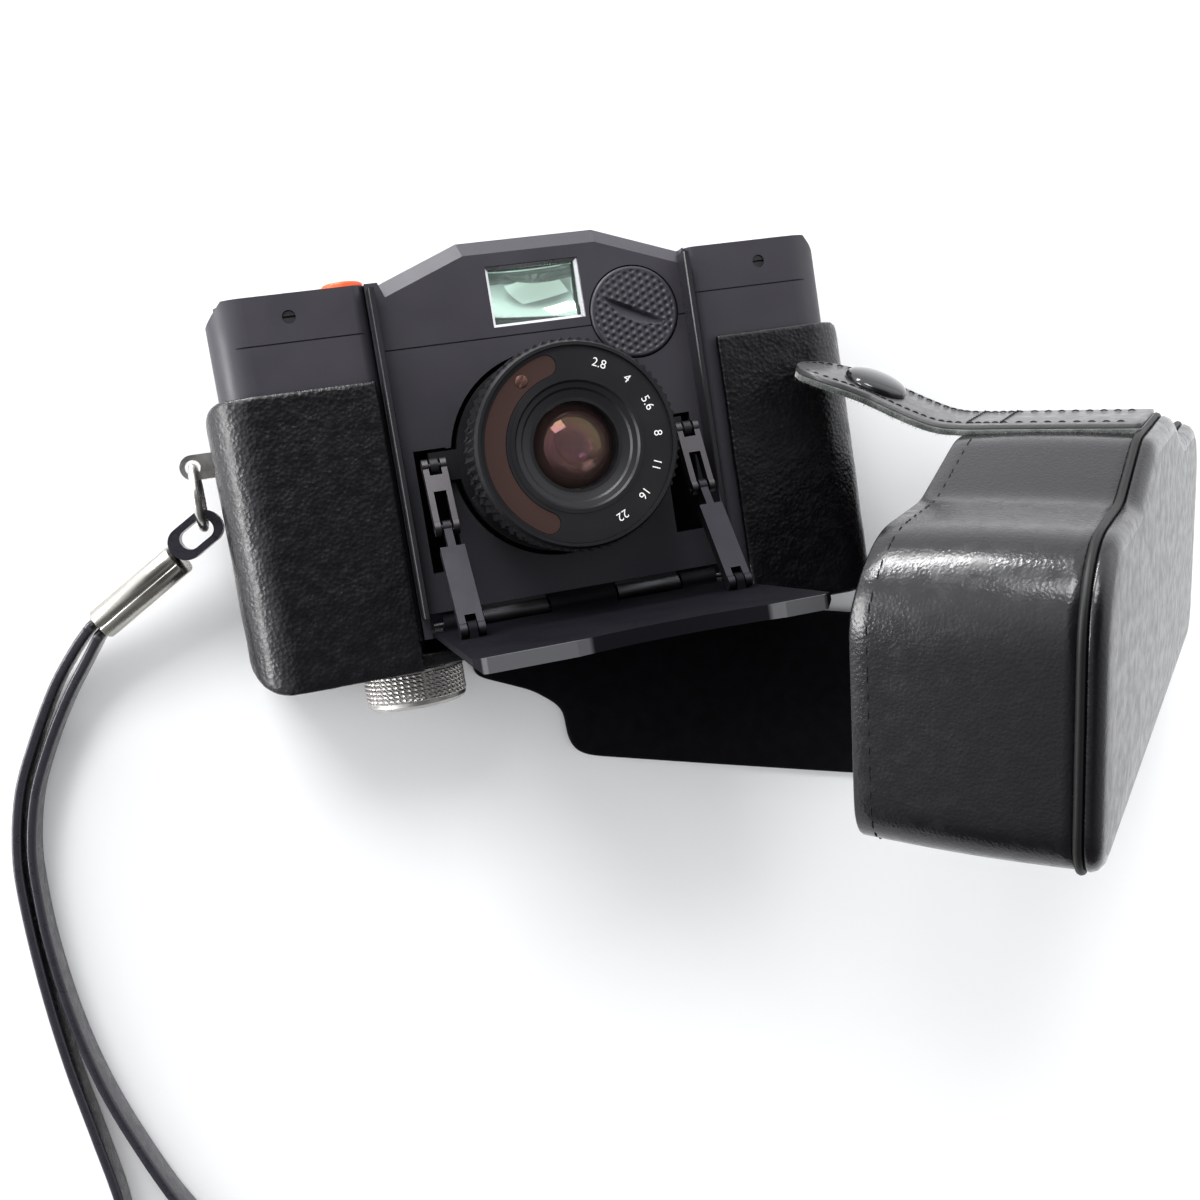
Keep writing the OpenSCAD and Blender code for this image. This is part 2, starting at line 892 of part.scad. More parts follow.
module snap_socket() {
    color("#b4b4b2")
        difference() {
            translate([0, 6, 0.1])
                cylinder(h = 1.6, r = 4.6);
            translate([0, 6, -1])
                cylinder(h = 2, r = 2);
        }
}

module thumbscrew() {
    color("#c4c4c6")
        difference() {
            union() {
                translate([screw_x, case_bottom_y - 0.1, screw_z])
                    rotate([90, 0, 0]) {
                        linear_extrude(5.4)
                            toothed(screw_r, 0.35, 60);
                        translate([0, 0, 5.4])
                            cylinder(h = 1, r1 = screw_r - 0.2, r2 = screw_r - 1);
                    }
                bar_y([screw_x, screw_z], case_bottom_y - 0.2, bottom_y + 3.6, 3.1);
            }
            bar_y([screw_x, screw_z], case_bottom_y - 10, case_bottom_y - 0.5, 2.6);
        }
}

// Places a piece drawn in the hood's own axes: X along it, Y up it, Z out of its front
module on_hood() {
    translate(hood_at)
        rotate(hood_turned)
            children();
}

// Outline of the hood with its hump, drawn in from the edge by an inset
module hood_outline(inset) {
    half = hood_w / 2 - inset;
    top = hood_h - shoulder_drop - inset;
    union() {
        rounded(-half, inset, half, top, 11 - inset, 6 - inset);
        polygon([[-26, top - 6], [26, top - 6], [26, top], [11, hood_h - inset], [-11, hood_h - inset], [-26, top]]);
    }
}

module hood_gusset() {
    color("#1f1e20")
        on_hood()
            difference() {
                translate([0, 0, -hood_d])
                    linear_extrude(hood_d)
                        hood_outline(0);
                translate([0, 0, -hood_d - 1])
                    linear_extrude(hood_d + 2)
                        hood_outline(hood_t);
                // The free edge draws back towards the tongue
                translate([0, hood_h - 12, -hood_d])
                    rotate([0, 90, 0])
                        translate([0, 0, -30])
                            linear_extrude(60)
                                polygon([[1, 0], [1, 20], [-3.4, 20], [-3.2, 11]]);
            }
}

module hood_front() {
    color("#232224")
        on_hood()
            union() {
                linear_extrude(1.4)
                    hood_outline(0.2);
                translate([0, 0, 1.4])
                    linear_extrude(0.8)
                        hood_outline(1.6);
            }
}

module hood_piping() {
    color("#0e0e10")
        on_hood()
            translate([0, 0, -1])
                difference() {
                    linear_extrude(0.99)
                        hood_outline(-0.5);
                    translate([0, 0, -1])
                        linear_extrude(4)
                            hood_outline(0);
                }
}

module tongue_strip() {
    color("#232224")
        on_hood()
            along_x(-tongue_w / 2, tongue_w / 2)
                // Its end is a wedge, so that the tongue can bend
                polygon([
                    [hood_h, -tongue_root + 0.7], [hood_h + 0.8, -tongue_root],
                    [hood_h + 1.4, -tongue_root + 0.55], [hood_h + 1.4, -1.02], [hood_h, -1.02]
                ]);
}

// Unit vector
function unit(v) = v / norm(v);

// Direction of a route at one of its points
function heading(route, i) =
    unit(route[min(i + 1, len(route) - 1)] - route[max(i - 1, 0)]);

// Flattened tube along a route: half-width along wide, half-thickness across it
module flat_tube(route, wide, half_w, half_t, sides) {
    count = len(route);
    rings = [
        for (i = [0 : count - 1])
            let (
                along = heading(route, i),
                across = unit(cross(along, wide)),
                up = cross(across, along)
            )
                for (k = [0 : sides - 1])
                    let (a = 360 * (k + 0.5) / sides)
                        route[i] + up * half_w * sin(a) / sin(90 - 180 / sides)
                            + across * half_t * cos(a) / cos(180 / sides)
    ];
    caps = [
        for (k = [1 : sides - 2])
            [0, k + 1, k],
        for (k = [1 : sides - 2])
            let (first = (count - 1) * sides)
                [first, first + k, first + k + 1]
    ];
    walls = [
        for (i = [0 : count - 2])
            for (k = [0 : sides - 1])
                let (
                    a = i * sides + k,
                    b = i * sides + (k + 1) % sides
                )
                    each [[a, b, b + sides], [a, b + sides, a + sides]]
    ];
    polyhedron(points = rings, faces = concat(caps, walls));
}

// Middle line of the free tongue in the hood's axes, from its root to its tip
tongue_route = [
    [0, hood_h + 0.8, -tongue_root - 0.1], [0, hood_h + 1.2, -29], [0.2, hood_h + 2.6, -33],
    [0.3, hood_h + 4.4, -37], [0.1, hood_h + 6.1, -40.5], [-1.4, hood_h + 7.9, -44.6],
    [-3.2, hood_h + 9.2, -48.4], [-4.5, hood_h + 10, -51.6]
];

// Places the snap's cap on the face of the tongue
module on_tongue() {
    on_hood()
        translate(tongue_route[4])
            rotate([-snap_tilt, 0, 0])
                translate([0, 0, 0.4])
                    children();
}

module tongue() {
    color("#262527")
        difference() {
            on_hood()
                flat_tube(tongue_route, [1, 0, 0], tongue_w / 2, 0.8, 8);
            // Seat of the snap's cap
            on_tongue()
                cylinder(h = 3, r = 5);
        }
}

module snap_cap() {
    color("#08080a")
        on_tongue()
            union() {
                cylinder(h = 1, r = 5);
                translate([0, 0, 1])
                    cylinder(h = 0.7, r1 = 5, r2 = 3.6);
            }
}

module split_ring() {
    color("#d2d3d5")
        translate([lug[0] - 0.4, lug[1] - ring_loop, lug[2]])
            rotate([0, 90, 0])
                rotate_extrude()
                    translate([ring_loop, 0])
                        circle(ring_wire, $fn = 16);
}

module strap_loop() {
    at = [lug[0] - 0.4, lug[1] - 2 * ring_loop - 0.1, lug[2]];
    color("#141315")
        translate(at)
            rotate([0, 0, clamp_way])
                difference() {
                    translate([1.6, 0, -2.4])
                        linear_extrude(4.6)
                            rounded(-4.6, -2.7, 4.6, 2.7, 2.6, 2.6);
                    translate([0.6, 0, -4])
                        linear_extrude(9)
                            rounded(-2.1, -1.6, 3.6, 1.6, 1.5, 1.5);
                }
}

module strap_clamp() {
    color("#c8c7c2")
        translate(clamp_at)
            rotate([0, clamp_dip, clamp_way])
                rotate([90, 0, 90])
                    translate([0, 0, -clamp_l / 2])
                        linear_extrude(clamp_l)
                            rounded(-2.6, -3.2, 2.6, 3.2, 0.8, 0.8);
}

module wrist_strap() {
    color("#121214")
        flat_tube(strap_route, [0, 0, 1], strap_w / 2, strap_t / 2, 8);
}

front_housing();
back_shell();
top_cover();
inner_chassis();
pressure_plate();
takeup_spool();
viewfinder_window();
viewfinder_lens();
eyepiece();
accessory_shoe();
shutter_button();
counter_window();
advance_lever();
self_timer_switch();
battery_holder();
battery();
battery_cap();
guide_rails();
housing_screws();
lid();
lid_hinge_pin();
upper_link_left();
upper_link_right();
lower_link_left();
lower_link_right();
lens_carriage();
aperture_ring();
focus_ring();
lens_bezel();
meter_window();
lens_cone();
front_element();
inner_elements();
shutter_blades();
tripod_bush();
rewind_knob();
rewind_crank();
strap_lug();
case_back();
case_flap();
left_grip();
right_grip();
case_bottom();
snap_socket();
thumbscrew();
hood_gusset();
hood_front();
hood_piping();
tongue_strip();
tongue();
snap_cap();
split_ring();
strap_loop();
strap_clamp();
wrist_strap();
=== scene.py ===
"""Looks of a folding 35 mm camera that lies in its open leather half-case.

Lengths are in millimetres in the row's frame and become metres in the mesh helpers.
"""

import math
import random

import bpy
from mathutils import Euler, Matrix, Vector


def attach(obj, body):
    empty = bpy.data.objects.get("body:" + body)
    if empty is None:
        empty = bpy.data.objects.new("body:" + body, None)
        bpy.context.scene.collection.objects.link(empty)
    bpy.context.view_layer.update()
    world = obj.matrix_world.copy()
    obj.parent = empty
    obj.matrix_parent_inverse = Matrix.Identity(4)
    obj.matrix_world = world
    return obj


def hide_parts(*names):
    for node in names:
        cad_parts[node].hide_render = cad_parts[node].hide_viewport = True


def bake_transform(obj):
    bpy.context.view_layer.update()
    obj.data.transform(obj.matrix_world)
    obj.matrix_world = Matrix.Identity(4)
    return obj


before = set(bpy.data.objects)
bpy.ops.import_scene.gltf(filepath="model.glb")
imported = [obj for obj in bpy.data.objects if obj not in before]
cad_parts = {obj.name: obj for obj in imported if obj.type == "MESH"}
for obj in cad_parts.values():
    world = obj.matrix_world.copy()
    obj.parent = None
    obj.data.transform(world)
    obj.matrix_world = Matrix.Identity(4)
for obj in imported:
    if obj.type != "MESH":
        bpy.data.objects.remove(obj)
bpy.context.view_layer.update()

MM = 0.001
rng = random.Random(7)

# Camera, as the photograph was taken from 218 mm above the table
EYE = Vector((-0.0416, -0.0110, 0.2183))
LOOK = Vector((0.226, -0.092, -0.970))
UP = Vector((0.173, 0.983, -0.053))
LENS_MM = 36.72
SENSOR_MM = 36

# Driving dimensions, the same as the part's
LENS_AXIS = Vector((-0.8, -4.7, 0))
HOOD_W, HOOD_H, HOOD_D, HOOD_T = 104, 47, 28, 1.8
SHOULDER_DROP = 6
HOOD_AT = Vector((76.6, -61.1, 56.9))
HOOD_TURNED = (math.radians(15), math.radians(44), math.radians(9))
TONGUE_W = 14
TONGUE_ROOT = 25
STRAP_W, STRAP_T = 6, 1.5
CLAMP_AT = Vector((-67.6, -16.2, 9.6))
CLAMP_WAY, CLAMP_DIP = 211.5, 12
CLAMP_W, CLAMP_H, CLAMP_L = 5.2, 6.4, 16.5
SCREW_AT = Vector((-27.5, -35.2, 15.2))
SCREW_R = 8.2
CAP_AT = Vector((16, 15.6))
BUTTON_AT = Vector((-28.2, 24.0, 14))
FINDER_LOW, FINDER_HIGH = Vector((-6.9, 15.8)), Vector((8, 25.2))

# Finer shapes of the hood and the tongue
HOOD_BEND, HOOD_FOOT = 11, 6
HUMP_FOOT, HUMP_TOP = 26, 11
HOOD_CURL, CURL_REACH = 2.6, 16
PIPING_R = 0.55
STITCH_ROWS, STITCH_SIDES = 5, 6
STITCH_THICK = 0.11
TONGUE_OVER, TONGUE_UNDER = 0.8, -0.9
FIBRES = 2600

# Finer shapes of the battery cap's face and the numbers on the bezel
CAP_FACE = 27.1
DIMPLE_PITCH, DIMPLE_ROW = 1.3, 1.0
DIMPLE_R, DIMPLE_DEPTH = 0.46, 0.3
DIMPLED_R = 6.5
COIN_TURN, COIN_HALF, COIN_DEPTH = -27, 5.3, 1.1
NUMBERS_R, NUMBERS_AT, NUMBER_SIZE = 12.1, 45.01, 1.8

# Room
FLOOR_HALF = 3.0
FLOOR_COLOR = (0.93, 0.93, 0.935)
ROOM_LIGHT = 1.5
BACKDROP = (0.45, 0.455, 0.46, 1)
ROOM_RISE = ((0.0, 1.0), (0.5, 1.0), (0.76, 0.75), (0.88, 0.22), (1.0, 0.1))
NEAR_SIDE, FAR_SIDE, NEAR_SHARE = -0.75, 0.25, 0.12

# Middle line of the wrist strap: out along the outer run, round the far end and back
STRAP_ROUTE = [
    (-75.6, -19.9, 7.6), (-79.4, -23.7, 5.8), (-84, -29.4, 3.9), (-88.5, -37.2, 3.2),
    (-92.2, -45.2, 3.2), (-94.4, -54.6, 3.2), (-94.9, -63.2, 3.2), (-94.5, -77, 3.2),
    (-93.3, -91.2, 3.2), (-91.5, -104.2, 3.2), (-89.8, -117.4, 3.2), (-90, -128, 3.2),
    (-92, -138, 3.2), (-92.5, -147, 3.2), (-88.5, -155, 3.2), (-81, -158, 3.2),
    (-73.5, -155, 3.2), (-70, -147, 3.2), (-71.5, -138, 3.2), (-76, -129, 3.2),
    (-81, -119.5, 3.2), (-85.4, -108, 3.2), (-88.8, -97, 3.2), (-91.2, -85, 3.2),
    (-92.5, -72.5, 3.2), (-92.7, -63, 3.2), (-92.2, -54.8, 3.2), (-90.1, -46.2, 3.2),
    (-86.6, -38.6, 3.2), (-82.4, -31.6, 3.9), (-78.1, -25.9, 5.8), (-74.7, -21.5, 7.6),
]


def make_camera():
    """Camera at the photograph's place and angle."""
    right = LOOK.cross(UP).normalized()
    back = -LOOK.normalized()
    data = bpy.data.cameras.new("view_camera")
    data.lens = LENS_MM
    data.sensor_width = SENSOR_MM
    data.clip_start = 0.01
    camera = bpy.data.objects.new("view_camera", data)
    turned = Matrix((right, back.cross(right), back)).transposed().to_4x4()
    camera.matrix_world = Matrix.Translation(EYE) @ turned
    bpy.context.scene.collection.objects.link(camera)
    bpy.context.scene.camera = camera


# ---------------------------------------------------------------- materials

def new_material(name, color, rough, metallic=0.0, **sockets):
    """Principled material. Further sockets are given by name with _ for a space."""
    material = bpy.data.materials.new(name)
    material.use_nodes = True
    shader = material.node_tree.nodes["Principled BSDF"]
    shader.inputs["Base Color"].default_value = (*color, 1)
    shader.inputs["Roughness"].default_value = rough
    shader.inputs["Metallic"].default_value = metallic
    for key, value in sockets.items():
        shader.inputs[key.replace("_", " ")].default_value = value
    return material


def texture(material, kind, size_mm, detail=2.0):
    """Procedural pattern whose cells are about size_mm wide, in the object's own space."""
    nodes, links = material.node_tree.nodes, material.node_tree.links
    place = nodes.get("Place")
    if place is None:
        place = nodes.new("ShaderNodeTexCoord")
        place.name = "Place"
    pattern = nodes.new("ShaderNodeTexNoise" if kind == "noise" else "ShaderNodeTexVoronoi")
    pattern.inputs["Scale"].default_value = 1000 / size_mm
    if kind == "noise":
        pattern.inputs["Detail"].default_value = detail
    elif kind == "cracks":
        pattern.feature = "DISTANCE_TO_EDGE"
    links.new(place.outputs["Object"], pattern.inputs["Vector"])
    return pattern.outputs["Fac" if kind == "noise" else "Distance"]


def add_bumps(material, *bumps):
    """Chains bump nodes: each bump is (kind, size_mm, height_mm, strength)."""
    nodes, links = material.node_tree.nodes, material.node_tree.links
    last = None
    for kind, size_mm, height_mm, strength in bumps:
        bump = nodes.new("ShaderNodeBump")
        bump.inputs["Distance"].default_value = height_mm * MM
        bump.inputs["Strength"].default_value = strength
        links.new(texture(material, kind, size_mm), bump.inputs["Height"])
        if last is not None:
            links.new(last, bump.inputs["Normal"])
        last = bump.outputs["Normal"]
    links.new(last, nodes["Principled BSDF"].inputs["Normal"])
    return material


def vary(material, socket, size_mm, low, high, detail=4.0):
    """Lets a socket wander between two values or colours over patches about size_mm wide."""
    nodes, links = material.node_tree.nodes, material.node_tree.links
    ramp = nodes.new("ShaderNodeValToRGB")
    for element, position, value in zip(ramp.color_ramp.elements, (0.35, 0.68), (low, high)):
        element.position = position
        element.color = (*value, 1) if isinstance(value, tuple) else (value, value, value, 1)
    links.new(texture(material, "noise", size_mm, detail), ramp.inputs["Fac"])
    links.new(ramp.outputs["Color"], nodes["Principled BSDF"].inputs[socket])
    return material


def plastic(name, color, rough, grain=0.35, depth=0.02, **sockets):
    """Moulded plastic with a fine grain, both in millimetres."""
    material = new_material(name, color, rough, **sockets)
    add_bumps(material, ("noise", grain, depth, 0.5))
    return vary(material, "Roughness", 9, rough - 0.05, rough + 0.07)


def leather(name, color, rough, pebble, depth, wave=0.25):
    """Coated leather with pebbles of a width and depth in millimetres over a slow wave."""
    material = new_material(name, color, rough, Coat_Weight=0.35, Coat_Roughness=0.2)
    add_bumps(
        material,
        ("noise", 3, 0.2, wave),
        ("noise", 1.4 * pebble, 1.2 * depth, 0.6),
        ("cells", pebble, depth, 0.8),
        ("noise", 0.3, 0.03, 0.5),
    )
    return vary(material, "Roughness", 2.2, rough - 0.07, rough + 0.1)


def painted_rim_highlight(material, axis, from_mm, rim_highlight):
    """Painted highlight: lighter tone beyond a place along an axis, standing in for the light that a
    free edge's rounding catches.
    """
    soft = 0.1
    nodes, links = material.node_tree.nodes, material.node_tree.links
    axes = nodes.new("ShaderNodeSeparateXYZ")
    step = nodes.new("ShaderNodeMapRange")
    mix = nodes.new("ShaderNodeMix")
    mix.data_type = "RGBA"
    step.inputs["From Min"].default_value = (from_mm - soft) * MM
    step.inputs["From Max"].default_value = (from_mm + soft) * MM
    mix.inputs["A"].default_value = nodes["Principled BSDF"].inputs["Base Color"].default_value
    # Colour of the painted highlight on the rim
    mix.inputs["B"].default_value = (*rim_highlight, 1)
    links.new(nodes["Place"].outputs["Object"], axes.inputs["Vector"])
    links.new(axes.outputs[axis], step.inputs["Value"])
    links.new(step.outputs["Result"], mix.inputs["Factor"])
    links.new(mix.outputs["Result"], nodes["Principled BSDF"].inputs["Base Color"])
    return material


def suede(name, color, fuzz):
    """Napped leather, its colour wandering between a darker and a lighter tone."""
    material = new_material(
        name, color, 0.95, Sheen_Weight=fuzz, Sheen_Roughness=0.6, Specular_IOR_Level=0.15
    )
    add_bumps(material, ("noise", 3.5, 0.12, 0.5), ("noise", 0.28, 0.08, 0.9))
    dark = tuple(0.6 * c for c in color)
    light = tuple(1.5 * c for c in color)
    return vary(material, "Base Color", 2.5, dark, light)


def metal(name, color, rough, grain=0.4, depth=0.006):
    """Satin metal with a fine grain, both in millimetres."""
    material = new_material(name, color, rough, metallic=1.0)
    add_bumps(material, ("noise", grain, depth, 0.5))
    return vary(material, "Roughness", 3, rough - 0.05, rough + 0.08)


def glass(name, color, film=0.0):
    """Clear or tinted glass; film is a coating's thickness in nanometres."""
    return new_material(
        name, color, 0.03, Transmission_Weight=0.95, IOR=1.5,
        Thin_Film_Thickness=film, Thin_Film_IOR=1.38,
    )


M = {
    "body": plastic("body_plastic", (0.046, 0.043, 0.052), 0.42),
    "cover": plastic("shoulder_plastic", (0.026, 0.025, 0.029), 0.3, 0.5, 0.012),
    "inner": new_material("inner_black", (0.006, 0.006, 0.007), 0.7),
    # Lid: its rim beyond Z 70.3 mm is painted lighter, a painted highlight for the light its rounded
    # edge reflects
    "lid": painted_rim_highlight(
        plastic("lid_plastic", (0.004, 0.004, 0.007), 0.6, 0.3, 0.03, Specular_IOR_Level=0.2),
        "Z", 70.3, (0.1, 0.1, 0.105),
    ),
    "ring": plastic("ring_plastic", (0.016, 0.016, 0.018), 0.36, 0.3, 0.01),
    "orange": plastic("orange_plastic", (0.85, 0.11, 0.03), 0.35, 0.3, 0.005),
    "link": metal("link_metal", (0.1, 0.095, 0.1), 0.4),
    "low_link": metal("lower_link_metal", (0.055, 0.053, 0.06), 0.5),
    "dark_metal": metal("blackened_metal", (0.09, 0.09, 0.095), 0.38),
    "steel": metal("battery_steel", (0.62, 0.62, 0.63), 0.28),
    "nickel": metal("nickel", (0.68, 0.66, 0.63), 0.26),
    "knurl": metal("knurled_nickel", (0.6, 0.58, 0.56), 0.38),
    "clamp": metal("clamp_nickel", (0.52, 0.5, 0.46), 0.26, 0.8, 0.012),
    "leather": leather("case_leather", (0.005, 0.0042, 0.006), 0.34, 0.65, 0.11),
    "hood": leather("hood_leather", (0.004, 0.0032, 0.005), 0.22, 0.45, 0.03, 0.12),
    # Hood panel: the hood's black leather painted grey, a painted reflection of the bright table its
    # face takes at a grazing angle
    "panel": leather("panel_leather_painted_reflection", (0.05, 0.049, 0.05), 0.36, 0.6, 0.03),
    "suede": suede("suede", (0.003, 0.003, 0.005), 0.04),
    "lining": suede("lining_suede", (0.03, 0.033, 0.033), 0.5),
    # Tongue: black leather painted light grey, a painted highlight for the glare its face catches at a
    # grazing angle
    "tongue": leather("tongue_leather_painted_glare", (0.075, 0.073, 0.075), 0.4, 0.7, 0.03),
    "cut_edge": suede("cut_edge", (0.07, 0.078, 0.072), 0.6),
    "piping": new_material("piping_leather", (0.006, 0.006, 0.006), 0.5),
    "strap": leather("strap_leather", (0.03, 0.028, 0.036), 0.3, 0.6, 0.02),
    "thread": new_material("thread", (0.006, 0.006, 0.007), 0.8),
    "snap": new_material(
        "snap_enamel", (0.006, 0.006, 0.007), 0.12, Coat_Weight=0.6, Coat_Roughness=0.05
    ),
    "window": glass("window_glass", (0.9, 0.97, 0.94)),
    "coated": glass("coated_glass", (0.62, 0.45, 0.43), 460.0),
    "smoked": new_material(
        "smoked_window", (0.062, 0.036, 0.031), 0.16, Coat_Weight=0.5, Coat_Roughness=0.08
    ),
    "iris": metal("iris_brown", (0.17, 0.1, 0.085), 0.5),
    "mirror": new_material("finder_mirror", (0.75, 0.86, 0.8), 0.06, metallic=1.0),
    "white": new_material("white_fill", (0.8, 0.8, 0.78), 0.5),
}

NODE_LOOK = {
    "front_housing": "body", "back_shell": "body", "top_cover": "body", "inner_chassis": "inner",
    "pressure_plate": "dark_metal", "takeup_spool": "inner", "viewfinder_window": "window",
    "viewfinder_lens": "window", "eyepiece": "inner", "accessory_shoe": "dark_metal",
    "shutter_button": "orange", "counter_window": "window", "advance_lever": "body",
    "self_timer_switch": "body", "battery_holder": "inner", "battery": "steel",
    "battery_cap": "body", "guide_rails": "cover", "housing_screws": "dark_metal", "lid": "lid",
    "lid_hinge_pin": "dark_metal", "upper_link_left": "link", "upper_link_right": "link",
    "lower_link_left": "low_link", "lower_link_right": "low_link", "lens_carriage": "ring",
    "aperture_ring": "ring", "focus_ring": "ring", "lens_bezel": "ring", "meter_window": "smoked",
    "lens_cone": "ring", "front_element": "coated", "inner_elements": "window",
    "shutter_blades": "iris", "tripod_bush": "nickel", "rewind_knob": "body",
    "rewind_crank": "dark_metal", "strap_lug": "nickel", "snap_socket": "nickel",
    "split_ring": "nickel", "strap_clamp": "clamp", "strap_loop": "strap", "thumbscrew": "nickel",
    "case_back": "suede", "case_bottom": "leather", "left_grip": "leather", "right_grip": "leather",
    "case_flap": "suede", "hood_gusset": "hood", "hood_front": "panel", "hood_piping": "piping",
    "tongue_strip": "hood", "tongue": "hood", "snap_cap": "snap", "wrist_strap": "strap",
}


def dress_nodes():
    """Gives each solid of the part its material."""
    for node, look in NODE_LOOK.items():
        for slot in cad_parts[node].material_slots:
            slot.material = M[look]


# ------------------------------------------------------------- mesh helpers

def make_piece(name, points, faces, look, smooth=True):
    """Mesh object from points in millimetres."""
    mesh = bpy.data.meshes.new(name)
    mesh.from_pydata([Vector(p) * MM for p in points], [], faces)
    mesh.materials.append(M[look])
    mesh.polygons.foreach_set("use_smooth", [smooth] * len(mesh.polygons))
    mesh.update()
    piece = bpy.data.objects.new(name, mesh)
    bpy.context.scene.collection.objects.link(piece)
    return piece


def lofted(name, rings, look, ends="caps", smooth=True):
    """Joins rings of equal length. Ends are closed by caps, joined to each other by loop, or open."""
    count = len(rings[0])
    points = [p for ring in rings for p in ring]
    faces = []
    last = len(rings) if ends == "loop" else len(rings) - 1
    for i in range(last):
        a, b = i * count, ((i + 1) % len(rings)) * count
        for k in range(count):
            n = (k + 1) % count
            faces.append((a + k, a + n, b + n, b + k))
    if ends == "caps":
        faces.append(tuple(reversed(range(count))))
        faces.append(tuple(range(len(points) - count, len(points))))
    return make_piece(name, points, faces, look, smooth)


def curve_through(points, steps):
    """Catmull-Rom points through a list of points, steps to each span."""
    points = [Vector(p) for p in points]
    padded = [2 * points[0] - points[1], *points, 2 * points[-1] - points[-2]]
    out = []
    for i in range(1, len(padded) - 2):
        a, b, c, d = padded[i - 1:i + 3]
        for k in range(steps):
            t = k / steps
            out.append(0.5 * (
                2 * b + (c - a) * t + (2 * a - 5 * b + 4 * c - d) * t * t
                + (3 * b - a - 3 * c + d) * t ** 3
            ))
    out.append(points[-1])
    return out


def polar(radius, degrees):
    """Plane point at a radius and an angle."""
    angle = math.radians(degrees)
    return Vector((radius * math.cos(angle), radius * math.sin(angle)))


def arc(centre, radius, start, end, steps):
    """Points of an arc in the plane, from one angle to another in degrees."""
    return [
        Vector(centre) + polar(radius, start + (end - start) * k / steps)
        for k in range(steps + 1)
    ]


def turned_shape(name, profile, look, place, steps=64):
    """Solid of revolution from (radius, height) pairs; place maps its own axes into the row's."""
    rings = []
    for radius, z in profile:
        rings.append([
            place @ Vector((*polar(radius, 360 * k / steps), z))
            for k in range(steps)
        ])
    return lofted(name, rings, look)


def spaced(loop, step):
    """Closed plane loop walked round at about even steps."""
    out = []
    for a, b in zip(loop, loop[1:] + loop[:1]):
        parts = max(1, round((b - a).length / step))
        out.extend(a.lerp(b, k / parts) for k in range(parts))
    return out


def smoothed(loop, passes):
    """Closed loop with its corners worn down by averaging neighbours."""
    for _ in range(passes):
        loop = [
            (loop[k - 1] + 2 * loop[k] + loop[(k + 1) % len(loop)]) / 4
            for k in range(len(loop))
        ]
    return loop


def outward(loop):
    """Unit normals of a counter-clockwise plane loop, pointing out."""
    normals = []
    for k in range(len(loop)):
        along = loop[(k + 1) % len(loop)] - loop[k - 1]
        normals.append(Vector((along.y, -along.x)).normalized())
    return normals


def finished(piece, *modifiers):
    """Applies modifiers, each a (type, settings) pair, to the piece's mesh."""
    for kind, settings in modifiers:
        modifier = piece.modifiers.new(kind, kind)
        for key, value in settings.items():
            setattr(modifier, key, value)
    graph = bpy.context.evaluated_depsgraph_get()
    graph.update()
    mesh = bpy.data.meshes.new_from_object(piece.evaluated_get(graph))
    piece.modifiers.clear()
    piece.data = mesh
    mesh.polygons.foreach_set("use_smooth", [True] * len(mesh.polygons))
    return piece


def clouds(name, size_mm):
    """Slow wave for a displaced surface."""
    pattern = bpy.data.textures.new(name, "CLOUDS")
    pattern.noise_scale = size_mm * MM
    pattern.noise_depth = 2
    return pattern


def softened(node, look, body):
    """Leather piece with rounded edges, made from the CAD solid's own shape, that replaces it."""
    voxel, wave, wave_size = 0.45, 0.25, 7
    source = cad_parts[node]
    piece = bpy.data.objects.new(node + "_leather", source.data.copy())
    piece.matrix_world = source.matrix_world
    bpy.context.scene.collection.objects.link(piece)
    finished(
        piece,
        ("REMESH", {"mode": "VOXEL", "voxel_size": voxel * MM}),
        ("SMOOTH", {"factor": 0.6, "iterations": 6}),
        ("DISPLACE", {
            "texture": clouds(node + "_wave", wave_size), "strength": wave * MM, "mid_level": 0.5
        }),
    )
    piece.data.materials.clear()
    piece.data.materials.append(M[look])
    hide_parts(node)
    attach(piece, body)


# ------------------------------------------------------------------- strap

def flat_section(half_wide, half_thick, corner, steps=3):
    """Rounded rectangle as (wide, thick) pairs."""
    points = []
    for start, sw, st in ((0, 1, 1), (90, -1, 1), (180, -1, -1), (270, 1, -1)):
        centre = (sw * (half_wide - corner), st * (half_thick - corner))
        points.extend(arc(centre, corner, start, start + 90, steps))
    return points


def make_clamp():
    """Folded metal sleeve over both runs of the strap, with its seam on top."""
    place = (
        Matrix.Translation(CLAMP_AT)
        @ Matrix.Rotation(math.radians(CLAMP_WAY), 4, "Z")
        @ Matrix.Rotation(math.radians(CLAMP_DIP), 4, "Y")
    )
    steps = 7
    half, top, lip, turned_in = CLAMP_L / 2, CLAMP_H / 2, 0.3, 0.93
    section = flat_section(CLAMP_W / 2, top, 1.9, steps)
    seam = ((0.5, top), (0.42, top - 0.3), (0.2, top - 0.3), (0.12, top))
    section[steps + 1:steps + 1] = [Vector(p) for p in seam]
    rings = [
        [place @ Vector((along, *(p * scale))) for p in section]
        for along, scale in ((-half, turned_in), (lip - half, 1), (half - lip, 1), (half, turned_in))
    ]
    clamp = lofted("clamp_sleeve", rings, "clamp")
    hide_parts("strap_clamp")
    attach(clamp, "strap")
    return clamp


def make_strap(clamp):
    """Flat leather strap that leaves the clamp and comes back into it."""
    path = curve_through(STRAP_ROUTE, 5)
    section = flat_section(STRAP_W / 2, STRAP_T / 2, 0.45)
    rings = []
    for i, at in enumerate(path):
        along = (path[min(i + 1, len(path) - 1)] - path[max(i - 1, 0)]).normalized()
        across = along.cross(Vector((0, 0, 1))).normalized()
        up = across.cross(along)
        rings.append([at + up * p.x + across * p.y for p in section])
    strap = lofted("strap", rings, "strap")
    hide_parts("wrist_strap")
    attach(strap, "strap")


# -------------------------------------------------------------------- hood

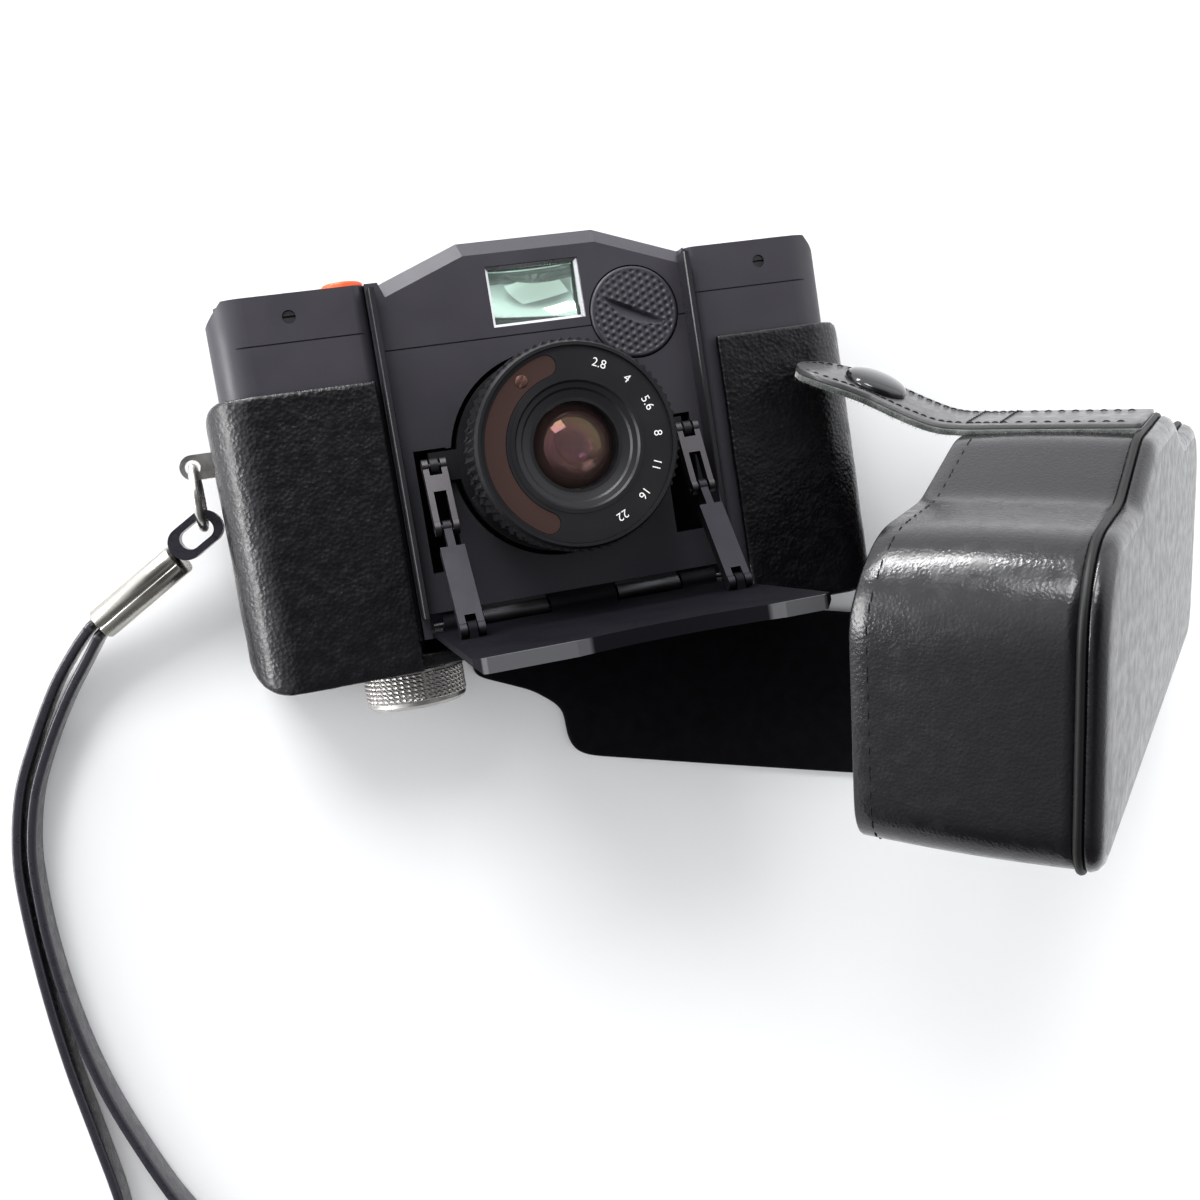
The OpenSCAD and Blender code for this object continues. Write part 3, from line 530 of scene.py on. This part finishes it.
TO_ROW = Matrix.Translation(HOOD_AT) @ Euler(HOOD_TURNED).to_matrix().to_4x4()


def on_hood(point):
    """A point of the hood's own axes, X along it, Y up it and Z out of its front, in the row's frame."""
    return TO_ROW @ Vector(point)


def hood_loop():
    """Counter-clockwise outline of the hood with its hump."""
    half = HOOD_W / 2
    top = HOOD_H - SHOULDER_DROP
    bend, foot = HOOD_BEND, HOOD_FOOT
    corners = [
        *arc((half - foot, foot), foot, -90, 0, 8),
        *arc((half - bend, top - bend), bend, 0, 90, 12),
        Vector((HUMP_FOOT, top)), Vector((HUMP_TOP, HOOD_H)),
        Vector((-HUMP_TOP, HOOD_H)), Vector((-HUMP_FOOT, top)),
        *arc((-half + bend, top - bend), bend, 90, 180, 12),
        *arc((-half + foot, foot), foot, 180, 270, 8),
    ]
    return smoothed(spaced(corners, 1.2), 3)


def free_edge(point):
    """Depth of the hood's free edge at a point of its outline."""
    drawn = max(0, (point.y - (HOOD_H - CURL_REACH)) / CURL_REACH)
    return -HOOD_D + 0.8 + HOOD_CURL * drawn


def second_look(piece, look, chosen):
    """Gives the chosen faces of a piece a second material."""
    piece.data.materials.append(M[look])
    for face in piece.data.polygons:
        if chosen(face):
            face.material_index = 1


def make_gusset(loop, normals):
    """Band round the hood: its outer face, its free edge and its lining."""
    steps, swell, r = 12, 0.35, HOOD_T / 2
    rows = [(swell * math.sin(math.pi * k / steps), k / steps, 0) for k in range(steps + 1)]
    for angle in (30, 60, 90, 120, 150):
        at = polar(r, angle)
        rows.append((at.x - r, 1, -0.5 * at.y))
    lined_from = (len(rows) - 2) * len(loop)
    rows += [(-HOOD_T, k / steps, 0) for k in range(steps, -1, -1)]
    rings = []
    for offset, share, extra in rows:
        ring = []
        for point, normal in zip(loop, normals):
            at = point + normal * offset
            ring.append(on_hood((at.x, at.y, share * free_edge(point) + extra)))
        rings.append(ring)
    band = lofted("hood_band", rings, "hood", ends="loop")
    second_look(band, "lining", lambda face: min(face.vertices) >= lined_from)
    return band


def make_panel(loop, normals):
    """Front panel with a rolled edge and a slight crown; its face carries the leather painted lighter as
    a painted reflection.
    """
    centre = Vector((0, 21))
    crown = 0.6
    profile = [(-0.1, 0.0, 1), (0.1, 0.7, 1), (-0.3, 1.5, 1), (-1.1, 2.1, 1), (-2.2, 2.4, 1)]
    dark_points = len(profile) * len(loop)
    profile += [(-2.2, 2.4 + crown * (1 - s * s), s) for s in (0.93, 0.85, 0.7, 0.5, 0.3, 0.12)]
    rings = []
    for offset, z, scale in profile:
        ring = []
        for point, normal in zip(loop, normals):
            at = centre + (point + normal * offset - centre) * scale
            ring.append(on_hood((at.x, at.y, z)))
        rings.append(ring)
    panel = lofted("hood_panel", rings, "panel")
    # The rolled edge keeps the band's black leather; the rest of the face has the panel's leather
    # painted lighter, a painted reflection
    second_look(panel, "hood", lambda face: max(face.vertices) < dark_points)
    return panel


def make_piping(loop, normals):
    """Round bead in the seam between the band and the panel."""
    rings = []
    for point, normal in zip(loop, normals):
        ring = []
        for angle in range(0, 360, 45):
            out, up = polar(PIPING_R, angle)
            at = point + normal * (0.1 + out)
            ring.append(on_hood((at.x, at.y, up - 0.35)))
        rings.append(ring)
    return lofted("hood_seam", rings, "piping", ends="loop")


def stitch_rows(at, along, out, length):
    """Rows of points round one stitch: a long drop that dips at both ends."""
    side = along.cross(out).normalized()
    rows = []
    for k in range(STITCH_ROWS):
        t = k / (STITCH_ROWS - 1) - 0.5
        full = math.cos(math.pi * t) ** 0.5 if abs(t) < 0.5 else 0
        mid = at + along * (t * length) - out * (STITCH_THICK * 1.6 * abs(2 * t) ** 2)
        row = []
        for n in range(STITCH_SIDES):
            aside, up = polar(STITCH_THICK * (0.35 + 0.65 * full), 360 * n / STITCH_SIDES)
            row.append(mid + side * aside + out * up)
        rows.append(row)
    return rows


def make_stitches(name, marks, look, length):
    """One piece of many stitches. Each mark is (place, along, out)."""
    points, faces = [], []
    count = STITCH_SIDES
    for at, along, out in marks:
        base = len(points)
        for row in stitch_rows(at, along, out, length):
            points.extend(row)
        for i in range(STITCH_ROWS - 1):
            for n in range(count):
                a, b = base + count * i + n, base + count * i + (n + 1) % count
                faces.append((a, b, b + count, a + count))
        faces.append(tuple(reversed(range(base, base + count))))
        faces.append(tuple(range(len(points) - count, len(points))))
    return make_piece(name, points, faces, look)


def edge_marks(loop, normals):
    """Places of the stitches along the gusset's free edge."""
    inset, pitch = 2.0, 2.2
    marks = []
    walked = 0
    for k, (point, normal) in enumerate(zip(loop, normals)):
        step = loop[(k + 1) % len(loop)] - point
        walked += step.length
        if walked < pitch:
            continue
        walked -= pitch
        at = point + normal * 0.12
        place = on_hood((at.x, at.y, free_edge(point) + inset))
        along = (on_hood((*step, 0)) - on_hood((0, 0, 0))).normalized()
        out = (on_hood((*normal, 0)) - on_hood((0, 0, 0))).normalized()
        marks.append((place, along, out))
    return marks


def make_hood():
    """Hood of band, panel, bead and stitches, over the solids of the same places."""
    loop = hood_loop()
    normals = outward(loop)
    band = make_gusset(loop, normals)
    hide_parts("hood_gusset")
    panel = make_panel(loop, normals)
    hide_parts("hood_front")
    seam = make_piping(loop, normals)
    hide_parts("hood_piping")
    stitches = make_stitches("hood_stitches", edge_marks(loop, normals), "thread", 1.7)
    slots = ("case_leather", "case_leather", "piping_black", "piping_black")
    for piece, slot in zip((band, panel, seam, stitches), slots):
        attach(piece, "hood")


# ------------------------------------------------------------------ tongue

def tongue_line():
    """Middle line of the sewn strip and the free tongue, in the hood's axes."""
    root = HOOD_H + 0.75
    points = [(0, root, -0.3), (0, root, -6), (0, root, -12), (0, root, -18), (0, root, -TONGUE_ROOT)]
    free = [
        (0, 1.2, -29), (0.2, 2.6, -33), (0.3, 4.4, -37), (0.1, 6.1, -40.5), (-1.4, 7.9, -44.6),
        (-3.2, 9.2, -48.4), (-4.5, 10, -51.6),
    ]
    points += [(x, HOOD_H + y, z) for x, y, z in free]
    return curve_through(points, 6)


def tongue_frames(line):
    """Place, way along and way out of the leather's face at each point of the line."""
    frames = []
    for i, at in enumerate(line):
        along = (line[min(i + 1, len(line) - 1)] - line[max(i - 1, 0)]).normalized()
        side = Vector((1, 0, 0)) - along * along.x
        side.normalize()
        frames.append((at, along, side, along.cross(side) * -1))
    return frames


def half_width(left, limit):
    """Half the tongue's width, left millimetres before its round tip."""
    if left >= limit:
        return limit
    return math.sqrt(max(0.0, limit * limit - (limit - left) ** 2))


def tongue_layer(name, frames, lengths, limit, low, high, look, crown):
    """One layer of the tongue between two heights over its middle line."""
    total = lengths[-1]
    rings = []
    for (at, along, side, out), walked in zip(frames, lengths):
        half = max(0.25, half_width(total - walked, limit))
        ring = []
        for p in flat_section(half, (high - low) / 2, 0.2):
            lift = crown * (1 - (p.x / limit) ** 2) if p.y > 0 else 0
            ring.append(on_hood(at + side * p.x + out * (p.y + (high + low) / 2 + lift)))
        rings.append(ring)
    return lofted(name, rings, look)


def make_fuzz(frames, lengths, limit):
    """Short fibres along the cut edges of the suede layer."""
    points, faces = [], []
    total = lengths[-1]
    for _ in range(FIBRES):
        k = rng.randrange(1, len(frames) - 1)
        at, along, side, out = frames[k]
        at = at + along * rng.uniform(-0.6, 0.6)
        sign = rng.choice((-1, 1))
        half = half_width(total - lengths[k], limit)
        root = at + side * sign * half + out * rng.uniform(-0.85, -0.1)
        way = side * sign * rng.uniform(0.4, 1) - out * rng.uniform(-0.2, 0.9)
        way += along * rng.uniform(-0.8, 0.8)
        tip = root + way.normalized() * rng.uniform(0.2, 0.8)
        base = len(points)
        thick = along * 0.03
        points += [on_hood(p) for p in (root - thick, root + thick, tip, root + out * 0.05)]
        faces += [(base, base + 1, base + 2), (base + 1, base + 3, base + 2), (base + 3, base, base + 2)]
    return make_piece("tongue_fuzz", points, faces, "cut_edge", smooth=False)


def tongue_marks(frames, lengths):
    """Stitches down both edges of the tongue, and two rows across its root."""
    inset, pitch, height = 1.5, 1.1, 0.95
    turn = TO_ROW.to_3x3()
    marks = []
    walked = 0.0
    for k in range(2, len(frames) - 1):
        walked += lengths[k] - lengths[k - 1]
        at, along, side, out = frames[k]
        half = half_width(lengths[-1] - lengths[k], TONGUE_W / 2) - inset
        if walked < pitch or half < 1:
            continue
        walked = 0.0
        for sign in (-1, 1):
            place = at + side * sign * half + out * height
            marks.append((on_hood(place), turn @ along, turn @ out))
    for across_z in (-TONGUE_ROOT + 0.6, -TONGUE_ROOT + 5.5):
        for step in range(-4, 5):
            place = (step * 1.4, HOOD_H + 1.75, across_z)
            marks.append((on_hood(place), turn @ Vector((1, 0, 0)), turn @ Vector((0, 1, 0))))
    return marks


def make_tongue():
    """Tongue of two layers with its stitches and the fibres of its cut edge."""
    line = tongue_line()
    frames = tongue_frames(line)
    lengths = [0.0]
    for a, b in zip(line, line[1:]):
        lengths.append(lengths[-1] + (b - a).length)
    wide, narrow, crown = TONGUE_W / 2, TONGUE_W / 2 - 0.15, 0.25
    # The face takes the tongue leather painted light grey, a painted highlight
    face = tongue_layer("tongue_face", frames, lengths, narrow, 0, TONGUE_OVER, "tongue", crown)
    under = tongue_layer("tongue_suede", frames, lengths, wide, TONGUE_UNDER, 0, "cut_edge", 0)
    fuzz = make_fuzz(frames, lengths, wide)
    stitches = make_stitches("tongue_stitches", tongue_marks(frames, lengths), "thread", 1.2)
    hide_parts("tongue", "tongue_strip")
    slots = ("case_leather", "case_suede", "case_suede", "piping_black")
    for piece, slot in zip((face, under, fuzz, stitches), slots):
        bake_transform(piece)


def make_snap():
    """Domed cap of the press stud."""
    radius, rise = 5, 1.5
    near = Vector((0.1, HOOD_H + 6.1, -40.5))
    frames = tongue_frames(tongue_line())
    at, along, side, out = min(frames, key=lambda f: (f[0] - near).length)
    own = Matrix((side, along, out)).transposed().to_4x4()
    own.translation = at + out * 0.85
    dome = [polar(1, angle) for angle in range(0, 90, 8)]
    profile = [(radius, 0), (radius + 0.05, 0.25)]
    profile += [(radius * p.x, 0.4 + rise * p.y) for p in dome]
    cap = turned_shape("snap_dome", profile, "snap", TO_ROW @ own)
    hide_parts("snap_cap")
    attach(cap, "tongue")


# -------------------------------------------------------------------- flap

FLAP = [
    (-16, -34.8), (46, -34.8), (51, -41), (62, -43.6), (82, -39), (90, -30),
    (96, -18), (101, -18), (102, -54), (95, -68), (76, -78.5), (53.8, -73.6), (23.1, -65.2),
    (3, -59.6), (0.4, -58.4), (-0.9, -55.8), (-0.9, -50), (-2.3, -48.6), (-6, -45.6), (-16, -41),
]


def make_flap():
    """Suede flap that lies on the table from the case's bottom edge to the hood."""
    loop = [Vector(p) for p in reversed(FLAP)]
    loop = smoothed(spaced(loop, 0.8), 6)
    normals = outward(loop)
    edge = [
        (-0.35, 0.05), (0, 0.35), (0.05, 0.7), (-0.12, 0.85), (0.02, 1.05), (-0.02, 1.4), (-0.4, 1.7)
    ]
    rings = [
        [(*(p + n * offset), z) for p, n in zip(loop, normals)]
        for offset, z in edge
    ]
    flap = lofted("flap_suede", rings, "suede")
    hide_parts("case_flap")
    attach(flap, "camera")


# ------------------------------------------------------------ metal pieces

def make_thumbscrew():
    """Head of the case screw with a diamond knurl between plain rims, and its shank."""
    steps, rows, cut, high, low = 150, 18, 0.12, 5.0, 0.9
    place = Matrix.Translation(SCREW_AT) @ Matrix.Rotation(math.radians(90), 4, "X")

    def ring(radius, z, depth=0.0, row=0):
        points = []
        for k in range(steps):
            grooved = (k + row) % 3 == 0 or (k - row) % 3 == 0
            at = polar(radius - depth * grooved, 360 * k / steps)
            points.append(place @ Vector((*at, z)))
        return points

    head = ((2.6, 0.6), (2.6, 6.4), (3.4, 6.5), (6.6, 6.5), (7.6, 6.3), (8.05, 5.8), (8.05, 5.2))
    shank = ((8.0, 0.7), (8.0, 0.3), (7.7, 0.1), (3.1, 0.1), (3.1, -8.2))
    rings = [ring(radius, z) for radius, z in head]
    for row in range(rows):
        rings.append(ring(SCREW_R, high - (high - low) * row / (rows - 1), cut, row))
    rings += [ring(radius, z) for radius, z in shank]
    screw = lofted("case_screw", rings, "knurl", smooth=False)
    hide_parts("thumbscrew")
    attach(screw, "thumbscrew")


def make_finder_mirror():
    """Curved half-mirror behind the viewfinder's front glass."""
    columns, rows, deepest, bowl = 24, 16, 20.4, 1.7
    size = FINDER_HIGH - FINDER_LOW
    points, faces = [], []
    for j in range(rows + 1):
        for i in range(columns + 1):
            u, v = i / columns, j / rows
            z = deepest + bowl * ((2 * u - 1) ** 2 + (2 * v - 1) ** 2)
            points.append((FINDER_LOW.x + size.x * u, FINDER_LOW.y + size.y * v, z))
    for j in range(rows):
        for i in range(columns):
            a = j * (columns + 1) + i
            faces.append((a, a + 1, a + columns + 2, a + columns + 1))
    mirror = make_piece("finder_mirror", points, faces, "mirror")
    finished(mirror, ("SOLIDIFY", {"thickness": 0.4 * MM, "offset": -1}))
    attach(mirror, "camera")


def make_front_glass():
    """Strongly curved front glass, which carries the room's reflections."""
    bend, edge, top, foot, steps = 8.5, 6.2, 43.9, 41.2, 16
    profile = [(edge, foot)]
    for k in range(steps):
        radius = edge * (1 - k / steps)
        profile.append((radius, top - bend + math.sqrt(bend * bend - radius * radius)))
    dome = turned_shape("front_glass", profile, "coated", Matrix.Translation(LENS_AXIS), 96)
    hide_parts("front_element")
    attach(dome, "lens")


def make_finder_frame():
    """Bright lip round the viewfinder's front glass."""
    wide = 0.5
    rings = []
    for inset, z in ((0, 25.4), (0, 26.2), (wide, 25.9), (wide, 25.4)):
        left, bottom = FINDER_LOW.x + inset, FINDER_LOW.y + inset
        right, top = FINDER_HIGH.x - inset, FINDER_HIGH.y - inset
        rings.append([(left, bottom, z), (right, bottom, z), (right, top, z), (left, top, z)])
    lip = lofted("finder_frame", rings, "steel", ends="loop", smooth=False)
    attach(lip, "camera")


def cap_height(x, y):
    """Height of the battery cap's face: a stipple of dimples and a coin slot."""
    across = polar(1, COIN_TURN)
    u = x * across.x + y * across.y
    v = y * across.x - x * across.y
    reach = max(0.0, 1 - (u / COIN_HALF) ** 2)
    low, high = -1.5 * reach, 0.35 + 0.25 * reach
    if reach > 0 and low < v < high:
        return -COIN_DEPTH * reach ** 0.5 * ((v - low) / (high - low)) ** 0.8
    if math.hypot(x, y) > DIMPLED_R:
        return 0.0
    row = round(v / DIMPLE_ROW)
    offset = 0.5 * DIMPLE_PITCH * (row % 2)
    column = round((u - offset) / DIMPLE_PITCH)
    away = math.hypot(u - offset - column * DIMPLE_PITCH, v - row * DIMPLE_ROW)
    return -DIMPLE_DEPTH * max(0.0, 1 - (away / DIMPLE_R) ** 2)


def make_battery_cap():
    """Battery cap, whose face is a dense net of rings that cap_height shapes."""
    steps, face_rings = 220, 46
    profile = [(2, 22.2), (6.15, 22.2), (6.15, 25.6), (7.2, 25.6), (7.2, 26.8), (6.95, CAP_FACE)]
    profile += [(6.9 * (1 - k / face_rings), CAP_FACE) for k in range(1, face_rings)]
    rings = []
    for radius, z in profile:
        ring = []
        for k in range(steps):
            at = polar(radius, 360 * k / steps)
            lift = cap_height(*at) if z == CAP_FACE else 0
            ring.append((*(CAP_AT + at), z + lift))
        rings.append(ring)
    cap = lofted("cap_stippled", rings, "body")
    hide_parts("battery_cap")
    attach(cap, "battery_cap")


def make_arc_mark():
    """Small slotted stud in the brown window."""
    steps, top, slot_half, slot_depth = 48, 0.14, 0.16, 0.12
    at = LENS_AXIS + Vector((*polar(NUMBERS_R, 124), 44.85))
    place = Matrix.Translation(at) @ Matrix.Rotation(math.radians(60), 4, "Z")
    rings = []
    for radius, z in ((0.95, -0.1), (0.95, 0.05), (0.85, top), (0.3, top)):
        ring = []
        for k in range(steps):
            x, y = polar(radius, 360 * k / steps)
            dip = slot_depth if z == top and abs(y) < slot_half else 0
            ring.append(place @ Vector((x, y, z - dip)))
        rings.append(ring)
    stud = lofted("arc_stud", rings, "iris")
    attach(stud, "lens")


def make_button():
    """Shutter button with a dished top."""
    place = Matrix.Translation(BUTTON_AT) @ Matrix.Rotation(math.radians(-90), 4, "X")
    profile = [(3.4, -4), (3.4, 2.9), (3.3, 3.2), (3.0, 3.35), (1.4, 3.2), (1.2, 3.0), (1.2, -2)]
    button = turned_shape("release_button", profile, "orange", place)
    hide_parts("shutter_button")
    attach(button, "shutter_button")


def make_numbers():
    """Plain numbers round the bezel."""
    labels = (("2.8", 66), ("4", 44), ("5.6", 22), ("8", 0), ("11", -22), ("16", -44), ("22", -66))
    for label, angle in labels:
        data = bpy.data.curves.new("number_" + str(angle), "FONT")
        data.body = label
        data.size = NUMBER_SIZE * MM
        data.align_x = "CENTER"
        data.align_y = "CENTER"
        data.extrude = 0.02 * MM
        place = LENS_AXIS + Vector((*polar(NUMBERS_R, angle), NUMBERS_AT))
        upright = Matrix.Rotation(math.radians(angle - 90), 4, "Z")
        text = bpy.data.objects.new("number_" + label.replace(".", "_"), data)
        text.matrix_world = Matrix.Translation(place * MM) @ upright
        bpy.context.scene.collection.objects.link(text)
        data.materials.append(M["white"])
        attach(text, "lens")


# ------------------------------------------------------------------- stage

def area_light(name, at, size, power):
    """Rectangular light that faces the object."""
    data = bpy.data.lights.new(name, "AREA")
    data.shape = "RECTANGLE"
    data.size, data.size_y = size
    data.energy = power
    light = bpy.data.objects.new(name, data)
    light.location = at
    light.rotation_euler = (-Vector(at)).to_track_quat("-Z", "Y").to_euler()
    bpy.context.scene.collection.objects.link(light)
    return light


def make_floor():
    """Pale table that the object lies on."""
    half = FLOOR_HALF
    corners = [(-half, -half, 0), (half, -half, 0), (half, half, 0), (-half, half, 0)]
    mesh = bpy.data.meshes.new("floor")
    mesh.from_pydata(corners, [], [(0, 1, 2, 3)])
    mesh.materials.append(new_material("floor_white", FLOOR_COLOR, 0.6, Specular_IOR_Level=0.2))
    floor = bpy.data.objects.new("floor", mesh)
    bpy.context.scene.collection.objects.link(floor)


def make_lights():
    """Two windows low down for the reflections, and two soft lights from above."""
    area_light("window_left", (-1.25, 0.16, 0.24), (0.9, 0.34), 9)
    area_light("window_top", (-0.46, 1.15, 0.13), (0.8, 0.08), 10)
    area_light("key", (-0.35, 1.0, 0.95), (0.6, 0.5), 8)
    fill = area_light("fill", (0.1, -0.3, 1.5), (1.6, 1.6), 5)
    fill.visible_glossy = False


def set_tones():
    """Plain display tones with a little contrast."""
    settings = bpy.context.scene.view_settings
    settings.view_transform = "Standard"
    settings.look = "Medium High Contrast"


def room_shade(nodes, links):
    """Bright low down, as in a white room, and darker overhead and on the near side."""
    place = nodes.new("ShaderNodeTexCoord")
    axes = nodes.new("ShaderNodeSeparateXYZ")
    ramp = nodes.new("ShaderNodeValToRGB")
    while len(ramp.color_ramp.elements) < len(ROOM_RISE):
        ramp.color_ramp.elements.new(0.5)
    for element, (position, value) in zip(ramp.color_ramp.elements, ROOM_RISE):
        element.position = position
        element.color = (0.96 * value, 0.98 * value, value, 1)
    side = nodes.new("ShaderNodeMapRange")
    side.inputs["From Min"].default_value = NEAR_SIDE
    side.inputs["From Max"].default_value = FAR_SIDE
    side.inputs["To Min"].default_value = NEAR_SHARE
    shade = nodes.new("ShaderNodeVectorMath")
    shade.operation = "SCALE"
    links.new(place.outputs["Generated"], axes.inputs["Vector"])
    links.new(axes.outputs["Z"], ramp.inputs["Fac"])
    links.new(axes.outputs["Y"], side.inputs["Value"])
    links.new(ramp.outputs["Color"], shade.inputs[0])
    links.new(side.outputs["Result"], shade.inputs["Scale"])
    return shade.outputs["Vector"]


def make_world():
    """The room lights and mirrors in the object, but the camera sees an even pale wall."""
    world = bpy.data.worlds.new("studio")
    world.use_nodes = True
    nodes, links = world.node_tree.nodes, world.node_tree.links
    path = nodes.new("ShaderNodeLightPath")
    seen = nodes.new("ShaderNodeMix")
    seen.data_type = "RGBA"
    seen.inputs["B"].default_value = BACKDROP
    links.new(path.outputs["Is Camera Ray"], seen.inputs["Factor"])
    links.new(room_shade(nodes, links), seen.inputs["A"])
    links.new(seen.outputs["Result"], nodes["Background"].inputs["Color"])
    nodes["Background"].inputs["Strength"].default_value = ROOM_LIGHT
    bpy.context.scene.world = world


make_camera()
make_strap(make_clamp())
dress_nodes()
make_hood()
make_tongue()
make_snap()
make_flap()
for node_name in ("left_grip", "right_grip", "case_bottom"):
    softened(node_name, "leather", "camera")
make_thumbscrew()
make_front_glass()
make_finder_mirror()
make_finder_frame()
make_battery_cap()
make_arc_mark()
make_button()
make_numbers()
make_floor()
make_world()
make_lights()
set_tones()
